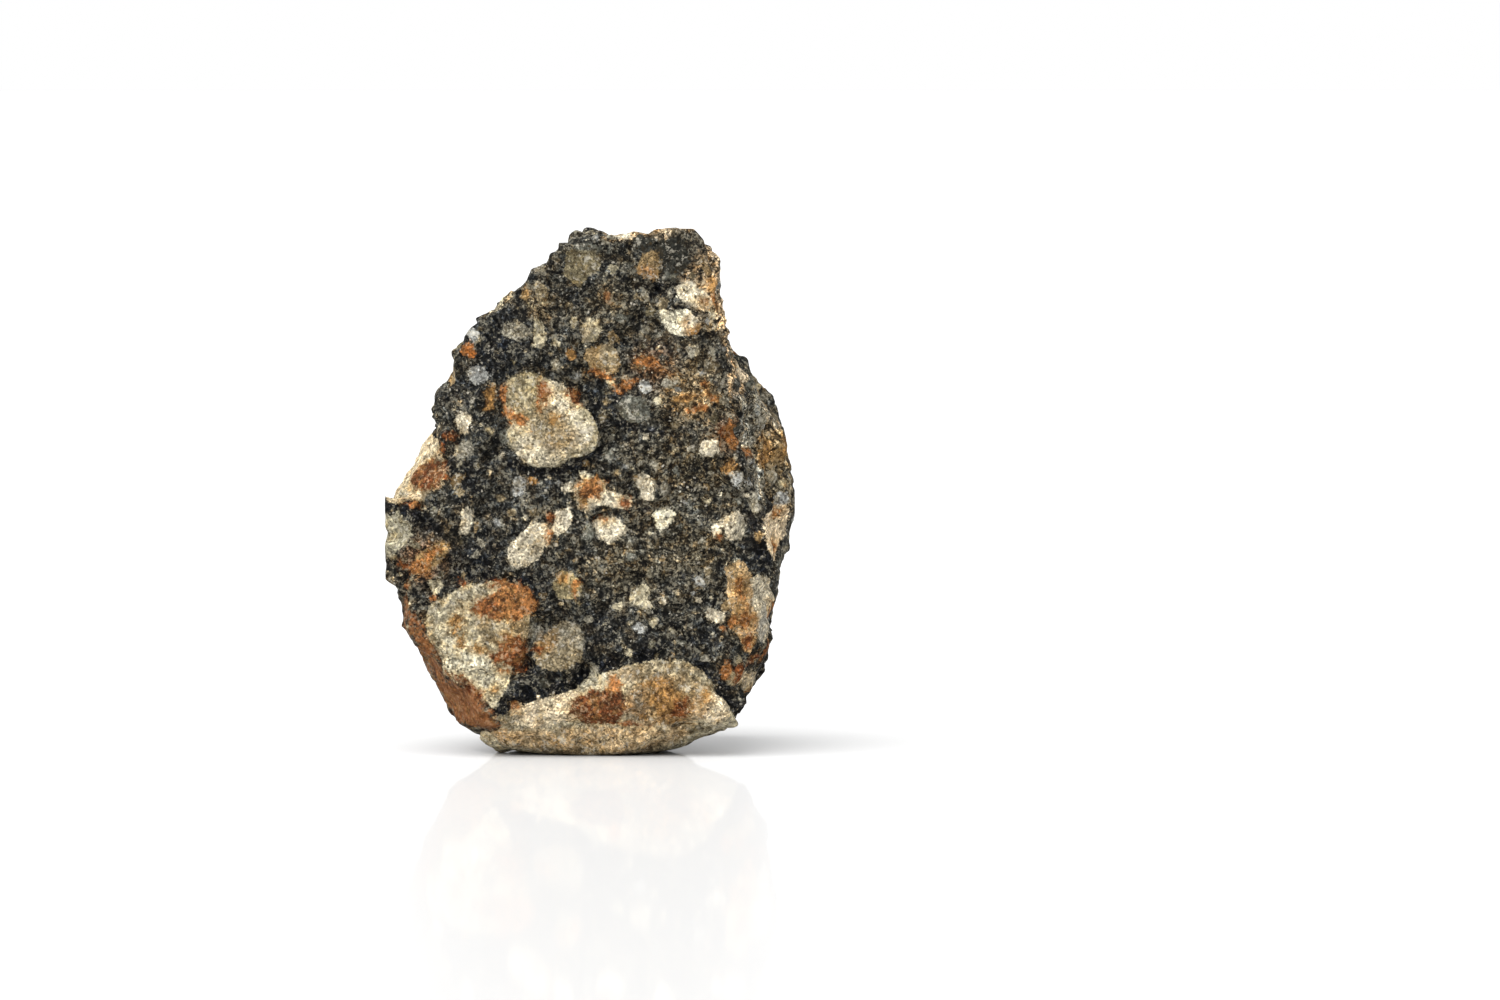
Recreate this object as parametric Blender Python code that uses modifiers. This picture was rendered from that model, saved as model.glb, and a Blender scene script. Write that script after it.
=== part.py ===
"""Broken fragment of a lunar breccia, standing on a small flat spot, in metres with +Z up.

It is one solid: a fractured block, a lobe behind its right side, chips, ledges, lumps and pits.
The broad broken face looks along -Y, and the origin is the middle of the bounding box's base.
"""

import bmesh
import bpy
from mathutils import Matrix, Vector, noise

MM = 0.001

OBJECT_NAME = "lunar_meteorite"
NODE_NAME = "stone"

# Overall size, in millimetres.
STONE_WIDTH = 13.9
STONE_DEPTH = 10.4
STONE_HEIGHT = 17.9

# The raw cube that the fractures cut down: its side and its middle, in millimetres.
RAW_SIDE = 60.0
RAW_MIDDLE = (0.0, 0.0, 9.0)

# Roughness of the broken surface at three scales: wavelength, height and starting place, in millimetres.
ROUGHNESS = (
    {"wave": 3.1, "height": 0.34, "start": (3.1, 7.7, 1.3)},
    {"wave": 1.25, "height": 0.20, "start": (8.2, 0.4, 5.9)},
    {"wave": 0.55, "height": 0.09, "start": (2.6, 4.8, 9.1)},
)

# The flat front face keeps this share of the roughness, where the skin looks along -Y at least so far.
FRONT_FACE_SHARE = 0.5
FRONT_FACE_TURN = -0.7

# Edge length of the even mesh, in millimetres, and the triangles left at the end.
EVEN_EDGE = 0.17
TRIANGLE_GOAL = 8400

# Points closer than this on a cut are one point, in metres.
MERGE_DISTANCE = 1e-7

# Fractures of the main block: a point in millimetres and the direction that faces out.
BLOCK_FRACTURES = {
    "front": ((0.0, -5.0, 9.0), (0.015, -1.0, 0.02)),
    "front_left_turn": ((-4.6, -5.0, 8.0), (-0.20, -1.0, 0.03)),
    "left": ((-7.02, -4.2, 7.4), (-0.98, 0.16, -0.02)),
    "left_lower_step": ((-6.72, -3.5, 5.6), (-0.95, 0.06, -0.30)),
    "lower_left_upper_facet": ((-5.90, -2.0, 3.1), (-0.86, -0.20, -0.47)),
    "lower_left_back": ((-5.92, -1.6, 3.1), (-0.84, 0.24, -0.48)),
    "lower_left_lower_facet": ((-4.86, -2.0, 1.32), (-0.70, -0.32, -0.62)),
    "lower_left_back_low": ((-4.88, -1.6, 1.32), (-0.70, 0.25, -0.66)),
    "base_left_turn": ((-3.74, -1.5, 0.38), (-0.50, -0.08, -0.86)),
    "front_under_steep": ((0.5, -5.0, 1.55), (0.02, -0.93, -0.36)),
    "front_under_shallow": ((0.5, -4.45, 0.55), (0.04, -0.62, -0.78)),
    "lower_right_under": ((3.6, -3.0, 0.78), (0.39, -0.04, -0.92)),
    "lower_right_corner": ((5.36, -2.0, 2.4), (0.90, -0.05, -0.42)),
    "right_side": ((5.20, -4.8, 11.9), (0.98, -0.04, 0.190)),
    "right_side_back": ((4.92, -1.6, 13.2), (0.95, 0.25, 0.18)),
    "right_side_low": ((6.22, -4.6, 7.4), (0.99, -0.02, -0.10)),
    "right_side_foot": ((6.12, -1.0, 4.6), (0.975, 0.02, -0.22)),
    "right_top_corner": ((4.12, -2.5, 17.4), (0.76, -0.08, 0.65)),
    "top": ((1.5, -3.0, 17.80), (-0.01, 0.14, 1.0)),
    "top_left_corner": ((-0.75, -3.0, 17.5), (-0.50, 0.12, 0.85)),
    "upper_left_top": ((-1.55, -3.0, 16.80), (-0.70, 0.12, 0.70)),
    "upper_left_mid": ((-3.45, -3.0, 14.98), (-0.66, 0.12, 0.74)),
    "upper_left_side": ((-4.25, -3.0, 14.40), (-0.89, 0.08, 0.453)),
    "back": ((0.0, 4.85, 7.5), (-0.10, 1.0, 0.08)),
    "back_top": ((0.5, 1.6, 15.8), (0.05, 0.82, 0.57)),
    "back_top_left": ((-3.4, 2.4, 13.0), (-0.62, 0.66, 0.42)),
    "back_left": ((-5.6, 2.6, 7.5), (-0.80, 0.60, 0.04)),
    "back_low_left": ((-4.1, 3.2, 2.7), (-0.56, 0.62, -0.55)),
    "back_low": ((0.3, 4.0, 1.9), (0.03, 0.72, -0.69)),
    "back_low_right": ((4.4, 3.3, 2.6), (0.62, 0.56, -0.55)),
}

# Fractures of the lobe that stands out behind the right side.
LOBE_FRACTURES = {
    "top": ((3.0, 0.5, 14.8), (0.30, 0.10, 0.95)),
    "shoulder": ((5.52, 0.2, 12.80), (0.80, -0.05, 0.60)),
    "upper_right": ((6.72, 0.4, 10.6), (0.965, 0.0, 0.26)),
    "right": ((7.02, 0.6, 8.5), (1.0, 0.02, 0.0)),
    "lower_right": ((6.42, 0.4, 5.9), (0.965, -0.04, -0.26)),
    "bottom_right": ((5.78, 0.3, 2.9), (0.90, -0.04, -0.43)),
    "back_low": ((4.0, 3.2, 2.2), (0.20, 0.68, -0.70)),
    "bottom": ((4.4, 0.5, 1.0), (0.45, 0.05, -0.89)),
    "front_right": ((6.05, -1.55, 8.6), (0.76, -0.64, 0.05)),
    "front": ((3.5, -3.4, 8.6), (0.10, -1.0, 0.05)),
    "back_right": ((5.9, 2.9, 8.0), (0.74, 0.67, 0.04)),
    "back_top_right": ((4.2, 2.9, 12.2), (0.48, 0.60, 0.64)),
    "back": ((3.0, 4.55, 8.0), (0.06, 1.0, 0.10)),
    "back_left": ((1.2, 4.4, 8.0), (-0.45, 0.88, 0.12)),
    "left": ((-0.5, 0.0, 8.0), (-1.0, 0.0, 0.0)),
}

# Chips: each is a wedge bounded by these planes, with the directions facing out of the wedge.
CHIPS = {
    "scoop_above_prong": (
        ((-5.90, -3.0, 10.17), (0.80, 0.02, -0.60)),
        ((-6.2, -4.0, 8.98), (-0.12, 0.0, -1.0)),
        ((-5.6, -4.0, 11.65), (0.10, 0.0, 1.0)),
        ((-6.0, 2.2, 10.0), (0.0, 1.0, 0.0)),
    ),
    "upper_left_chip": (
        ((-4.70, -3.0, 13.1), (0.94, -0.06, -0.32)),
        ((-5.0, -3.0, 12.5), (0.0, 0.0, -1.0)),
    ),
    "left_step_chip": (
        ((-6.42, -3.0, 5.0), (0.97, 0.10, 0.20)),
        ((-6.5, -3.0, 5.45), (-0.25, 0.0, 1.0)),
    ),
    "front_scoop_above_prong": (
        ((-5.35, -4.85, 9.9), (0.72, 0.58, -0.30)),
        ((-6.0, -4.5, 8.85), (0.10, 0.25, -1.0)),
        ((-5.6, -4.5, 11.2), (0.10, 0.1, 1.0)),
        ((-6.0, -1.0, 10.0), (0.0, 1.0, 0.0)),
    ),
    "right_hollow": (
        ((5.12, -4.8, 11.5), (-0.97, 0.10, -0.235)),
        ((4.6, -3.0, 14.3), (0.15, 0.0, 1.0)),
        ((5.0, -2.3, 11.0), (0.3, 1.0, 0.0)),
    ),
    "lower_right_bevel": (
        ((4.85, -4.9, 4.3), (-0.64, 0.76, 0.10)),
        ((5.6, -4.0, 6.35), (-0.15, 0.0, 1.0)),
        ((5.6, -4.0, 1.2), (0.0, 0.0, -1.0)),
    ),
    "top_right_bevel": (
        ((3.95, -4.95, 16.0), (-0.62, 0.76, -0.20)),
        ((4.3, -4.0, 13.9), (0.0, 0.0, -1.0)),
    ),
    "upper_face_step": (
        ((0.0, -4.80, 13.0), (0.0, 1.0, -0.02)),
        ((1.2, -5.0, 12.78), (0.25, -0.35, -1.0)),
        ((-0.3, -5.0, 13.5), (-1.0, -0.4, 0.20)),
        ((3.35, -5.0, 13.5), (1.0, -0.3, -0.25)),
        ((1.5, -5.0, 15.3), (0.1, -0.9, 1.0)),
    ),
}

# Lumps: middle in millimetres, half sizes, and the turn about +Y in radians.
LUMPS = {
    "prong": ((-6.42, -4.2, 8.62), (0.68, 0.80, 0.22), 0.20),
    "left_bump_upper": ((-5.02, -4.2, 12.22), (0.34, 0.62, 0.27), 0.1),
    "left_bump_lower": ((-5.05, -4.2, 11.52), (0.36, 0.64, 0.34), -0.1),
    "top_knob_left": ((-0.02, -3.6, 17.78), (0.62, 0.8, 0.33), 0.1),
    "top_knob_right": ((3.05, -3.0, 17.72), (0.72, 0.9, 0.34), 0.05),
    "top_corner_knob": ((3.98, -2.6, 17.05), (0.42, 0.9, 0.55), -0.2),
    "lower_left_edge_lump": ((-6.15, -4.1, 5.85), (0.65, 0.8, 0.48), 0.5),
    "face_patch": ((2.6, -4.92, 10.7), (1.95, 0.22, 1.85), 0.25),
    "ledge": ((1.15, -4.90, 12.45), (1.2, 0.22, 0.28), 0.25),
    "big_pale_clast": ((-1.45, -4.88, 11.3), (1.75, 0.22, 1.45), 0.3),
    "lobe_rim": ((6.24, 0.5, 8.4), (0.64, 1.2, 1.1), 0.0),
}

# Pits and grooves: middle in millimetres, half sizes, and the turn about +Y in radians.
PITS = {
    "face_pit_middle": ((4.0, -5.22, 7.0), (0.55, 0.36, 0.40), 0.3),
    "face_pit_low": ((-2.3, -5.42, 3.3), (0.5, 0.5, 0.80), 0.2),
    "face_pit_right": ((5.3, -5.2, 8.4), (0.42, 0.42, 0.60), 0.0),
    "seam_groove": ((-0.5, -5.36, 2.72), (2.9, 0.48, 0.62), -0.38),
    "seam_groove_right": ((4.5, -5.2, 2.3), (0.34, 0.42, 1.1), -0.5),
    "lobe_pit": ((7.0, -0.3, 5.2), (0.50, 0.9, 0.7), 0.2),
    "back_pit_high": ((-1.2, 5.1, 11.0), (1.6, 0.8, 1.1), 0.4),
    "back_pit_low": ((2.4, 5.2, 5.2), (1.3, 0.8, 0.9), -0.3),
    "left_pit": ((-7.0, 0.4, 7.2), (0.5, 1.3, 0.9), 0.0),
}


def remove_everything():
    for scene_object in list(bpy.data.objects):
        bpy.data.objects.remove(scene_object, do_unlink=True)
    for collection in list(bpy.data.collections):
        bpy.data.collections.remove(collection)


def new_object(name, bm, collection):
    mesh = bpy.data.meshes.new(name)
    bm.to_mesh(mesh)
    bm.free()
    made = bpy.data.objects.new(name, mesh)
    collection.objects.link(made)
    return made


def cut_convex(planes):
    """A raw block cut down to the inside of every plane."""
    bm = bmesh.new()
    bmesh.ops.create_cube(bm, size=RAW_SIDE * MM)
    bmesh.ops.translate(bm, verts=bm.verts, vec=Vector(RAW_MIDDLE) * MM)
    for point, normal in planes:
        every_part = bm.verts[:] + bm.edges[:] + bm.faces[:]
        cut = bmesh.ops.bisect_plane(
            bm,
            geom=every_part,
            dist=MERGE_DISTANCE,
            plane_co=Vector(point) * MM,
            plane_no=Vector(normal).normalized(),
            clear_outer=True,
        )
        rim = [part for part in cut["geom_cut"] if isinstance(part, bmesh.types.BMEdge)]
        if rim:
            bmesh.ops.edgeloop_fill(bm, edges=rim)
    bmesh.ops.recalc_face_normals(bm, faces=bm.faces)
    return bm


def rounded_lump(half_sizes, middle, turn):
    """An egg-shaped lump turned about +Y."""
    bm = bmesh.new()
    bmesh.ops.create_icosphere(bm, subdivisions=3, radius=1.0)
    bmesh.ops.scale(bm, verts=bm.verts, vec=Vector(half_sizes) * MM)
    bmesh.ops.rotate(bm, verts=bm.verts, cent=(0.0, 0.0, 0.0), matrix=Matrix.Rotation(turn, 3, "Y"))
    bmesh.ops.translate(bm, verts=bm.verts, vec=Vector(middle) * MM)
    return bm


def combine(body, tool, operation):
    """Join or subtract a wire-shown tool with an exact Boolean."""
    tool.hide_render = True
    tool.display_type = "WIRE"
    step = body.modifiers.new(operation.lower() + " " + tool.name, "BOOLEAN")
    step.operation = operation
    step.solver = "EXACT"
    step.object = tool


def make_even(body):
    """An even skin, close enough to take the roughness."""
    step = body.modifiers.new("even skin", "REMESH")
    step.mode = "VOXEL"
    step.voxel_size = EVEN_EDGE * MM


def settle(body):
    """Put the result of the modifiers in the body's own mesh."""
    bpy.context.view_layer.update()
    graph = bpy.context.evaluated_depsgraph_get()
    finished = bpy.data.meshes.new_from_object(body.evaluated_get(graph))
    raw = body.data
    body.modifiers.clear()
    body.data = finished
    bpy.data.meshes.remove(raw)
    finished.name = body.name


def roughen(body):
    """Move the skin in and out at three scales, less on the broad front face."""
    mesh = body.data
    moves = []
    for vert in mesh.vertices:
        share = FRONT_FACE_SHARE if vert.normal.y < FRONT_FACE_TURN else 1.0
        height = 0.0
        for scale in ROUGHNESS:
            place = vert.co / MM / scale["wave"] + Vector(scale["start"])
            height += scale["height"] * noise.noise(place)
        moves.append(vert.normal * height * share * MM)
    for vert, move in zip(mesh.vertices, moves):
        vert.co += move


def thin_out(body):
    """Bring the triangles down to the goal."""
    triangles = sum(len(face.vertices) - 2 for face in body.data.polygons)
    step = body.modifiers.new("fewer triangles", "DECIMATE")
    step.ratio = TRIANGLE_GOAL / triangles
    settle(body)


def fit_and_flatten(body):
    """Give the stone its exact size, and cut its flat resting spot at z = 0."""
    bm = bmesh.new()
    bm.from_mesh(body.data)
    bmesh.ops.triangulate(bm, faces=bm.faces)
    every_part = bm.verts[:] + bm.edges[:] + bm.faces[:]
    cut = bmesh.ops.bisect_plane(
        bm,
        geom=every_part,
        dist=MERGE_DISTANCE,
        plane_co=(0.0, 0.0, 0.0),
        plane_no=(0.0, 0.0, -1.0),
        clear_outer=True,
    )
    rim = [part for part in cut["geom_cut"] if isinstance(part, bmesh.types.BMEdge)]
    bmesh.ops.edgeloop_fill(bm, edges=rim)
    low = [min(vert.co[axis] for vert in bm.verts) for axis in range(3)]
    high = [max(vert.co[axis] for vert in bm.verts) for axis in range(3)]
    wanted = (STONE_WIDTH, STONE_DEPTH, STONE_HEIGHT)
    middle = Vector(((low[0] + high[0]) / 2, (low[1] + high[1]) / 2, 0.0))
    scale = Vector([side * MM / (top - bottom) for side, bottom, top in zip(wanted, low, high)])
    for vert in bm.verts:
        vert.co = Vector([value * factor for value, factor in zip(vert.co - middle, scale)])
    bmesh.ops.triangulate(bm, faces=bm.faces)
    bmesh.ops.recalc_face_normals(bm, faces=bm.faces)
    bm.to_mesh(body.data)
    bm.free()


def stone_material():
    material = bpy.data.materials.new("dark breccia")
    material.use_nodes = True
    shader = material.node_tree.nodes["Principled BSDF"]
    shader.inputs["Base Color"].default_value = (0.10, 0.095, 0.085, 1.0)
    shader.inputs["Roughness"].default_value = 0.85
    shader.inputs["Metallic"].default_value = 0.0
    return material


def build():
    remove_everything()
    scene_collection = bpy.context.scene.collection
    kept = bpy.data.collections.new(OBJECT_NAME)
    tools = bpy.data.collections.new("cutters")
    scene_collection.children.link(kept)
    scene_collection.children.link(tools)

    body = new_object(NODE_NAME, cut_convex(BLOCK_FRACTURES.values()), kept)
    lobe = new_object("lobe", cut_convex(LOBE_FRACTURES.values()), tools)
    combine(body, lobe, "UNION")
    for name, planes in CHIPS.items():
        chip = new_object(name, cut_convex(planes), tools)
        combine(body, chip, "DIFFERENCE")
    settle(body)
    for name, (middle, half_sizes, turn) in LUMPS.items():
        lump = new_object(name, rounded_lump(half_sizes, middle, turn), tools)
        combine(body, lump, "UNION")
    for name, (middle, half_sizes, turn) in PITS.items():
        pit = new_object(name, rounded_lump(half_sizes, middle, turn), tools)
        combine(body, pit, "DIFFERENCE")
    settle(body)
    make_even(body)
    settle(body)
    roughen(body)
    thin_out(body)
    fit_and_flatten(body)
    body.data.materials.clear()
    body.data.materials.append(stone_material())
    return body


build()
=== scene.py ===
import math

import bmesh
import bpy
import numpy as np
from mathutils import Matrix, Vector, kdtree, noise


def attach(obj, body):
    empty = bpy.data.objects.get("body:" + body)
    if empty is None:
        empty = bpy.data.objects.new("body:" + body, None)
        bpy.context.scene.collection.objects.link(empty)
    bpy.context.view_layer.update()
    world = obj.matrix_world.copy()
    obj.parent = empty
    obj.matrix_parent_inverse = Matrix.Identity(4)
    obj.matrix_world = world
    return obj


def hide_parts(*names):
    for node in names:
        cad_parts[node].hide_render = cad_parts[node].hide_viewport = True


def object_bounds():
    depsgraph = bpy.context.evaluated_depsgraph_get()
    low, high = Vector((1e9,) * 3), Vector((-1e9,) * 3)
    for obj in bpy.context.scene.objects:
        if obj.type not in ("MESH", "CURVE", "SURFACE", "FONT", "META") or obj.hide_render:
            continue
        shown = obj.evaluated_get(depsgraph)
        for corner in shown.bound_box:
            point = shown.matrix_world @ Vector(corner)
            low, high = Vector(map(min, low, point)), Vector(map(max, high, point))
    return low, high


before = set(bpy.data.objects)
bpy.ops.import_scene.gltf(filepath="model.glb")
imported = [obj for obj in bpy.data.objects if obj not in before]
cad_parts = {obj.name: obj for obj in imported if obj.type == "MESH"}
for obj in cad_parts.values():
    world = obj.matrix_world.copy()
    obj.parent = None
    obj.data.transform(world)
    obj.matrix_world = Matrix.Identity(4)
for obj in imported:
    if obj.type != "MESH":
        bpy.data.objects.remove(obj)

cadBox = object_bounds()
mm = 0.001
print("the frame is loaded")

# How the stone was photographed. Pixels count in the 1500 x 1000 picture, sizes in millimetres.
photo = {
    "width": 1500,
    "middle": (750, 500),
    "focalPixels": 9461,
    "distance": 320.0,          # from the lens to the stone's front face
    "tiltDown": 2.9,            # degrees
    "aim": (5.41, -5.0, 8.74),  # where the lens axis meets the front face
    "sensor": 36.0,
}
pixelsPerMm = photo["focalPixels"] / photo["distance"]


def toPixels(points):
    # where points in millimetres fall in the picture, and how far behind the front face they are
    tilt = math.radians(photo["tiltDown"])
    side, back, up = (points - np.array(photo["aim"])).T
    behind = back * math.cos(tilt) - up * math.sin(tilt)
    rise = back * math.sin(tilt) + up * math.cos(tilt)
    zoom = photo["focalPixels"] / (photo["distance"] + behind)
    return photo["middle"][0] + side * zoom, photo["middle"][1] - rise * zoom, behind


def makeCamera():
    lens = bpy.data.cameras.new("camera")
    lens.sensor_width = photo["sensor"]
    lens.lens = photo["focalPixels"] / photo["width"] * photo["sensor"]
    lens.clip_start = 0.01
    lens.clip_end = 50.0
    camera = bpy.data.objects.new("camera", lens)
    bpy.context.scene.collection.objects.link(camera)
    tilt = math.radians(photo["tiltDown"])
    forward = Vector((0.0, math.cos(tilt), -math.sin(tilt)))
    camera.location = (Vector(photo["aim"]) - forward * photo["distance"]) * mm
    camera.rotation_euler = (math.pi / 2 - tilt, 0.0, 0.0)
    bpy.context.scene.camera = camera


# The skin of the stone: an even mesh over the solid, in millimetres.
skin = {
    "grid": 0.101,
    "smoothing": 4,
    "restMiddle": (0.0, -1.9),   # the spot that the belly rests on
    "restRadii": (2.2, 1.95),
    "bellyLift": 0.55,           # how much its rim rises
    "bellyHeight": 1.3,
    "calmHeight": 0.12,          # relief fades out below this height
}


def makeSkin():
    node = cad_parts["stone"]
    stone = bpy.data.objects.new("stoneSkin", node.data.copy())
    bpy.context.scene.collection.objects.link(stone)
    even = stone.modifiers.new("even", "REMESH")
    even.mode = "VOXEL"
    even.voxel_size = skin["grid"] * mm
    soft = stone.modifiers.new("soft", "SMOOTH")
    soft.factor = 0.5
    soft.iterations = skin["smoothing"]
    graph = bpy.context.evaluated_depsgraph_get()
    graph.update()
    finished = bpy.data.meshes.new_from_object(stone.evaluated_get(graph))
    stone.modifiers.clear()
    stone.data = finished
    finished.name = "stoneSkin"
    return stone


def readVectors(items, name):
    values = np.empty(len(items) * 3)
    items.foreach_get(name, values)
    return values.reshape(-1, 3)


def writePoints(mesh, points):
    mesh.vertices.foreach_set("co", (points * mm).ravel())
    mesh.update()


def wave(points, length, start):
    # smooth noise between about -1 and 1
    places = points / length + np.array(start)
    return np.array([noise.noise(Vector(place)) for place in places])


def fade(value, low, high):
    share = np.clip((value - low) / (high - low), 0.0, 1.0)
    return share * share * (3.0 - 2.0 * share)


# Tones of the minerals as the photograph shows them (red, green, blue out of 255).
tones = {
    "white": (224, 212, 184),
    "cream": (198, 187, 156),
    "sunCream": (220, 200, 163),
    "putty": (165, 152, 116),
    "mist": (172, 172, 166),
    "ash": (158, 152, 134),
    "slate": (108, 108, 98),
    "greyGreen": (180, 173, 147),
    "dun": (144, 130, 102),
    "tan": (158, 134, 96),
    "oliveTan": (130, 120, 94),
    "ochre": (168, 126, 74),
    "orange": (172, 112, 62),
    "rust": (132, 76, 40),
    "umber": (104, 54, 26),
    "dark": (60, 60, 55),
    "jet": (30, 32, 34),
    "brown": (82, 73, 55),
    "ground": (61, 59, 52),
    # the darkest tone: real seams between clasts, and painted shade in hollows and under ledges
    "seamAndShade": (20, 21, 24),
    "underPale": (206, 174, 128),
    "flankRust": (154, 100, 60),
    "russet": (122, 84, 52),
    # rimTan is the tone of painted highlight along lit edges
    "rimTan": (178, 154, 120),
    "lobeCream": (255, 232, 194),
    "milk": (246, 238, 208),
}
lightGain = 2.05   # how much brighter than a plain white wall's share the stone is lit


def linear(tone):
    share = np.array(tone) / 255.0
    return np.where(share <= 0.04045, share / 12.92, ((share + 0.055) / 1.055) ** 2.4) / lightGain


# Front clasts with corners of their own: tone, depth and rise in millimetres, outline in pixels.
outlinedClasts = {
    "bigCream": ("cream", 1.4, 0.1, [(508, 378), (524, 371), (545, 377), (563, 384), (578, 398),
        (588, 416), (600, 436), (597, 447), (584, 455), (567, 460), (555, 469), (536, 468), (519, 458),
        (507, 446), (506, 433), (513, 423), (503, 412), (506, 395)]),
    "lowerLeft": ("cream", 3.4, 0.06, [(466, 586), (480, 583), (500, 580), (520, 586), (533, 597),
        (530, 618), (527, 632), (523, 645), (524, 657), (512, 668), (508, 682), (504, 696), (498, 707),
        (490, 705), (476, 689), (458, 679), (446, 673), (438, 655), (430, 636), (423, 619), (433, 606),
        (450, 594)]),
    "bottom": ("cream", 5.0, 0.05, [(492, 716), (500, 711), (520, 708), (545, 698), (575, 688),
        (590, 676), (612, 671), (628, 666), (652, 660), (682, 660), (700, 668), (712, 684), (724, 700),
        (732, 716), (735, 732), (700, 775), (470, 775), (474, 740), (484, 735), (500, 735), (502, 722)]),
    "leftFacet": ("sunCream", 4.0, 0.0, [(436, 427), (438, 445), (442, 462), (446, 476), (441, 486),
        (430, 491), (420, 499), (402, 502), (380, 500), (420, 430)]),
    "leftGrey": ("greyGreen", 3.0, 0.04, [(380, 511), (397, 511), (407, 516), (414, 525), (415, 536),
        (408, 546), (396, 553), (380, 556)]),
    "rightOchre": ("underPale", 2.2, 0.0, [(726, 568), (736, 560), (745, 563), (751, 574), (754, 592),
        (756, 616), (754, 642), (747, 656), (739, 648), (735, 630), (731, 610), (726, 592)]),
    "rightGrey": ("white", 2.6, 0.03, [(751, 578), (760, 575), (770, 576), (769, 592), (766, 612),
        (761, 632), (757, 643), (753, 632), (752, 600)]),
    "rightLow": ("sunCream", 1.6, 0.02, [(741, 677), (751, 668), (758, 672), (755, 682), (746, 695),
        (741, 691)]),
    "lobeTop": ("lobeCream", 3.4, 0.0, [(736, 351), (744, 355), (749, 367), (747, 382), (740, 385),
        (737, 370)]),
    "lobePatch": ("lobeCream", 3.2, 0.0, [(764, 512), (772, 503), (784, 504), (792, 518), (788, 536),
        (783, 550), (775, 560), (767, 550), (764, 532)]),
    "oliveTop": ("oliveTan", 1.4, 0.02, [(565, 258), (573, 251), (590, 249), (602, 256), (600, 268),
        (588, 277), (580, 288), (571, 284), (563, 272)]),
    "tanTop": ("tan", 1.2, 0.02, [(636, 268), (640, 254), (650, 249), (659, 256), (661, 271), (656, 281),
        (645, 279), (636, 274)]),
    "darkTop": ("dark", 1.4, 0.0, [(660, 241), (670, 236), (681, 240), (689, 250), (689, 262), (682, 274),
        (668, 272), (660, 262), (656, 250)]),
    "whiteTop": ("white", 1.2, 0.06, [(672, 287), (680, 282), (691, 281), (701, 289), (711, 299),
        (712, 307), (704, 312), (692, 306), (682, 300)]),
    "creamTop": ("milk", 1.2, 0.06, [(659, 312), (668, 309), (673, 313), (679, 308), (691, 312),
        (700, 319), (703, 327), (698, 335), (684, 337), (669, 332), (662, 323)]),
    "creamSmall": ("cream", 0.8, 0.02, [(580, 326), (590, 317), (597, 322), (603, 329), (596, 341),
        (583, 341)]),
    "ochreCream": ("tan", 0.8, 0.02, [(589, 347), (607, 344), (617, 350), (621, 362), (618, 371),
        (604, 373), (591, 367), (583, 358)]),
    "wedge": ("cream", 0.8, 0.05, [(533, 312), (541, 324), (547, 338), (541, 348), (533, 347),
        (533, 331)]),
    "slateClast": ("slate", 1.0, 0.03, [(616, 402), (628, 395), (642, 397), (649, 408), (646, 421),
        (632, 423), (619, 416)]),
    "whiteRight": ("white", 0.8, 0.05, [(701, 441), (716, 440), (719, 447), (712, 456), (704, 459),
        (700, 451)]),
    "bentCream": ("white", 0.8, 0.02, [(573, 487), (583, 481), (604, 479), (607, 490), (622, 494),
        (631, 498), (630, 510), (614, 507), (600, 507), (588, 512), (577, 510)]),
    "speckledOval": ("white", 1.0, 0.05, [(533, 521), (545, 524), (550, 533), (546, 546), (538, 559),
        (528, 567), (518, 570), (508, 561), (507, 548), (515, 539), (523, 530)]),
    "fiveSided": ("white", 0.9, 0.04, [(596, 522), (603, 516), (614, 516), (622, 521), (629, 529),
        (622, 539), (610, 545), (598, 540), (595, 530)]),
    "ochreOval": ("putty", 0.8, 0.03, [(553, 583), (561, 572), (573, 572), (583, 585), (583, 595),
        (573, 600), (559, 598)]),
    "greyTanClast": ("dun", 1.2, 0.04, [(550, 630), (565, 622), (580, 626), (587, 640), (583, 655),
        (570, 665), (551, 673), (540, 668), (533, 655), (533, 641)]),
    "creamLow": ("cream", 0.8, 0.04, [(631, 593), (640, 583), (650, 588), (648, 600), (654, 608),
        (643, 609), (632, 601)]),
    "creamUnder": ("white", 0.6, 0.02, [(587, 684), (596, 675), (608, 676), (607, 687), (598, 696),
        (588, 693)]),
}

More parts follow.
